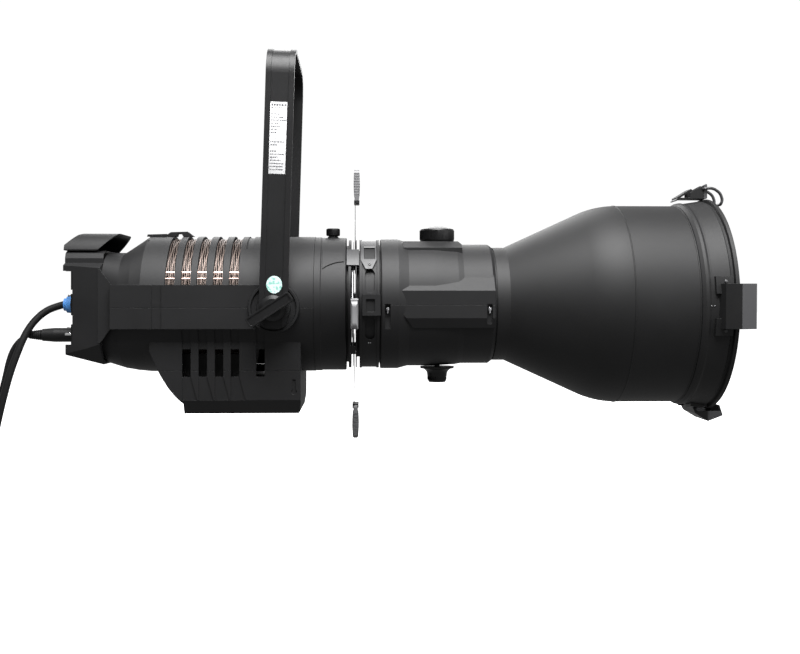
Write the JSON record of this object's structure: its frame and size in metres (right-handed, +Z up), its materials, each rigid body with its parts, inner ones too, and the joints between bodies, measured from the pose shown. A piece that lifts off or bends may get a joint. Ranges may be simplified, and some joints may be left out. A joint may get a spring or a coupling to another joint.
{
  "type": "ellipsoidal spotlight",
  "caption": "Yoke-hung LED ellipsoidal spotlight with sliding beam shutters, rotating barrel, focusing lens tube, wide front hood, colour-frame latch and plugged-in leads.",
  "frame": {"origin": "Top face of the yoke at the middle of its centre bolt hole, where the hanging clamp bolts on.", "axes": "+X along the beam towards the front, +Y towards the far side (away from the side with the label), +Z up. The lamp is level and the yoke leans 1.7 degrees forwards at its top."},
  "size_m": [1.2432, 0.3993, 0.6739],
  "materials": {
    "black_casting": "satin",
    "black_sheet": "satin",
    "yoke_paint": "satin",
    "black_plastic": "matte",
    "knob_plastic": "satin",
    "panel_black": "matte",
    "display_glass": "gloss",
    "button_grey": "matte",
    "socket_grey": "satin",
    "fin_aluminium": "satin",
    "pipe_copper": "satin",
    "led_plate": "satin",
    "optic_glass": "gloss",
    "fan_plastic": "satin",
    "circuit_green": "satin",
    "blade_steel": "satin",
    "handle_grey": "satin",
    "screw_steel": "satin",
    "bracket_steel": "satin",
    "bail_steel": "satin",
    "cord_rubber": "matte",
    "plug_blue": "satin",
    "plug_black": "matte"
  },
  "bodies": {
    "yoke": {"yoke": "yoke_paint"},
    "tilt_lock_near": {"tilt_knob_near": "knob_plastic"},
    "tilt_lock_far": {"tilt_knob_far": "knob_plastic"},
    "lamp": {"pivot_bosses": "black_casting", "upper_housing": "black_casting", "lower_housing": "black_casting", "driver_cover": "black_casting", "rear_cover": "black_plastic", "rear_cowl": "black_plastic", "rear_panel": "panel_black", "display_window": "display_glass", "power_sockets": "socket_grey", "dmx_sockets": "socket_grey", "fuse_holder": "black_plastic", "cooling_fins": "fin_aluminium", "heat_pipes": "pipe_copper", "led_engine": "led_plate", "condenser_lens": "optic_glass", "condenser_holder": "black_sheet", "fan_frame": "fan_plastic", "driver_unit": "circuit_green", "safety_bridge": "black_casting", "front_ring": "black_casting", "power_plug": "plug_blue", "power_cord": "cord_rubber", "power_coil": "cord_rubber", "mains_plug": "plug_black", "dmx_plug": "plug_black", "dmx_cord": "cord_rubber", "dmx_coil": "cord_rubber", "dmx_end_plug": "plug_black"},
    "fan": {"fan_rotor": "fan_plastic"},
    "button_1": {"menu_button_1": "button_grey"},
    "button_2": {"menu_button_2": "button_grey"},
    "button_3": {"menu_button_3": "button_grey"},
    "button_4": {"menu_button_4": "button_grey"},
    "barrel_lock": {"barrel_lock_knob": "knob_plastic"},
    "barrel": {"shutter_plates": "black_sheet", "gate_ring": "black_casting", "accessory_clip": "bracket_steel", "barrel_upper": "black_casting", "barrel_lower": "black_casting", "barrel_screws": "screw_steel"},
    "shutter_top": {"shutter_blade_top": "blade_steel", "shutter_handle_top": "handle_grey"},
    "shutter_bottom": {"shutter_blade_bottom": "blade_steel", "shutter_handle_bottom": "handle_grey"},
    "shutter_near": {"shutter_blade_near": "blade_steel", "shutter_handle_near": "handle_grey"},
    "shutter_far": {"shutter_blade_far": "blade_steel", "shutter_handle_far": "handle_grey"},
    "lens": {"lens_tube": "black_sheet", "lenses": "optic_glass", "hood": "black_sheet", "front_band": "black_sheet", "frame_brackets": "bracket_steel", "bracket_rivets": "screw_steel"},
    "focus_top": {"focus_knob": "knob_plastic"},
    "focus_bottom": {"lower_focus_knob": "knob_plastic"},
    "latch": {"latch_bail": "bail_steel"}
  },
  "joints": [
    {"name": "yoke_tilt", "type": "hinge", "parent": "yoke", "child": "lamp", "pos_m": [-0.01092, 0, -0.36784], "axis": [0, 1, 0], "range_deg": [-40, 80]},
    {"name": "tilt_lock_near_turn", "type": "hinge", "parent": "lamp", "child": "tilt_lock_near", "pos_m": [-0.01092, 0, -0.36784], "axis": [0, -1, 0], "range_deg": [-90, 90]},
    {"name": "tilt_lock_far_turn", "type": "hinge", "parent": "lamp", "child": "tilt_lock_far", "pos_m": [-0.01092, 0, -0.36784], "axis": [0, 1, 0], "range_deg": [-90, 90]},
    {"name": "barrel_rotate", "type": "hinge", "parent": "lamp", "child": "barrel", "pos_m": [0.09708, 0, -0.36234], "axis": [1, 0, 0], "range_deg": [-25, 25]},
    {"name": "barrel_lock_turn", "type": "hinge", "parent": "lamp", "child": "barrel_lock", "pos_m": [0.06978, 0, -0.26234], "axis": [0, 0, 1], "range_deg": [-180, 180]},
    {"name": "focus_slide", "type": "slide", "parent": "barrel", "child": "lens", "axis": [1, 0, 0], "range_m": [-0.018, 0.008]},
    {"name": "focus_top_turn", "type": "hinge", "parent": "lens", "child": "focus_top", "pos_m": [0.22538, 0, -0.26234], "axis": [0, 0, 1], "range_deg": [-180, 180]},
    {"name": "focus_bottom_turn", "type": "hinge", "parent": "lens", "child": "focus_bottom", "pos_m": [0.22538, 0, -0.46234], "axis": [0, 0, -1], "range_deg": [-180, 180]},
    {"name": "latch_swing", "type": "hinge", "parent": "lens", "child": "latch", "pos_m": [0.62508, 0, -0.18984], "axis": [0, -1, 0], "range_deg": [0, 110]},
    {"name": "fan_spin", "type": "hinge", "parent": "lamp", "child": "fan", "pos_m": [-0.22292, 0, -0.36234], "axis": [1, 0, 0], "continuous": true},
    {"name": "shutter_top_slide", "type": "slide", "parent": "barrel", "child": "shutter_top", "axis": [0, 0, -1], "range_m": [0, 0.046]},
    {"name": "shutter_bottom_slide", "type": "slide", "parent": "barrel", "child": "shutter_bottom", "axis": [0, 0, 1], "range_m": [0, 0.046]},
    {"name": "shutter_far_slide", "type": "slide", "parent": "barrel", "child": "shutter_far", "axis": [0, -1, 0], "range_m": [0, 0.046]},
    {"name": "shutter_near_slide", "type": "slide", "parent": "barrel", "child": "shutter_near", "axis": [0, 0.9976, 0.0698], "range_m": [0, 0.046]},
    {"name": "button_1_press", "type": "slide", "parent": "lamp", "child": "button_1", "axis": [1, 0, 0], "range_m": [0, 0.0015], "stiffness_N_per_m": 600, "springref_m": -0.002},
    {"name": "button_2_press", "type": "slide", "parent": "lamp", "child": "button_2", "axis": [1, 0, 0], "range_m": [0, 0.0015], "stiffness_N_per_m": 600, "springref_m": -0.002},
    {"name": "button_3_press", "type": "slide", "parent": "lamp", "child": "button_3", "axis": [1, 0, 0], "range_m": [0, 0.0015], "stiffness_N_per_m": 600, "springref_m": -0.002},
    {"name": "button_4_press", "type": "slide", "parent": "lamp", "child": "button_4", "axis": [1, 0, 0], "range_m": [0, 0.0015], "stiffness_N_per_m": 600, "springref_m": -0.002}
  ]
}
